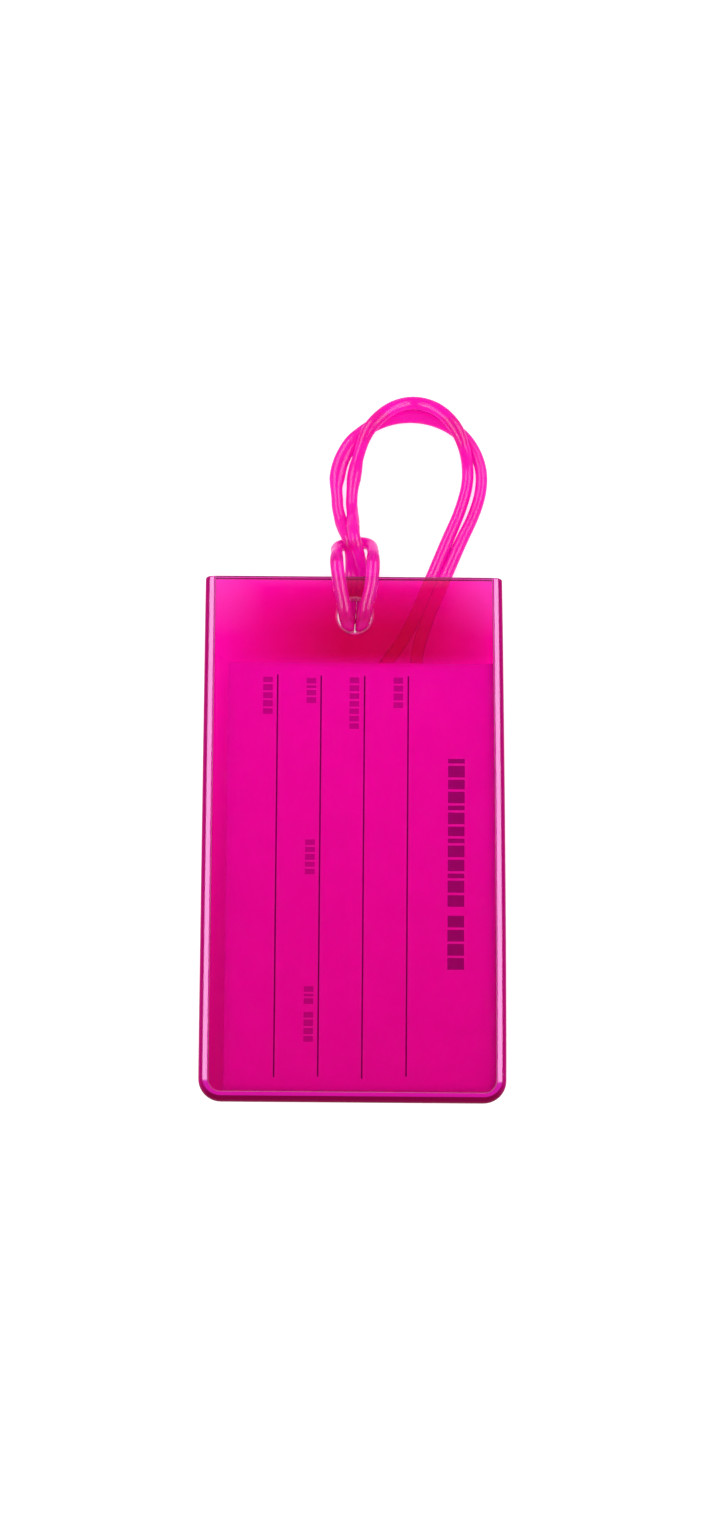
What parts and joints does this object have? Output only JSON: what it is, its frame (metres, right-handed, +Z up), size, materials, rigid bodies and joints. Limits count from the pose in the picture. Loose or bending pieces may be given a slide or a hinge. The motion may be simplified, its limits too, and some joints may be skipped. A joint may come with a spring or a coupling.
{
  "type": "luggage tag",
  "caption": "Tinted clear luggage tag: an open-topped soft sleeve that holds an ID card, with a closed cord strap hitched through its hole.",
  "frame": {"origin": "centre of the sleeve's footprint, on the surface that the tag lies on, without the strap", "axes": "+X to the right across the printed face, +Y along the sleeve towards its open end and the strap, +Z up out of the printed face"},
  "size_m": [0.06, 0.1432, 0.0098],
  "materials": {
    "sleeve_plastic": "soft flexible plastic, tinted clear, glossy",
    "card_paper": "white printed card",
    "strap_plastic": "soft flexible plastic cord, tinted clear, glossy"
  },
  "bodies": {
    "loop": {"strap_loop": "strap_plastic"},
    "hitch": {"strap_hitch": "strap_plastic"},
    "sleeve": {"sleeve": "sleeve_plastic"},
    "card": {"id_card": "card_paper"}
  },
  "joints": [
    {"name": "tag_lift", "type": "hinge", "parent": "loop", "child": "hitch", "pos_m": [-0.0022, 0.069, 0.00245], "axis": [-1, 0, 0], "range_deg": [0, 135]},
    {"name": "tag_swing", "type": "hinge", "parent": "hitch", "child": "sleeve", "pos_m": [0, 0.04454, 0.00503], "axis": [0, -0.0349, 0.9994], "range_deg": [-20, 20]},
    {"name": "card_slide", "type": "slide", "parent": "sleeve", "child": "card", "axis": [0, 0.9994, 0.0349], "range_m": [0, 0.006]}
  ]
}
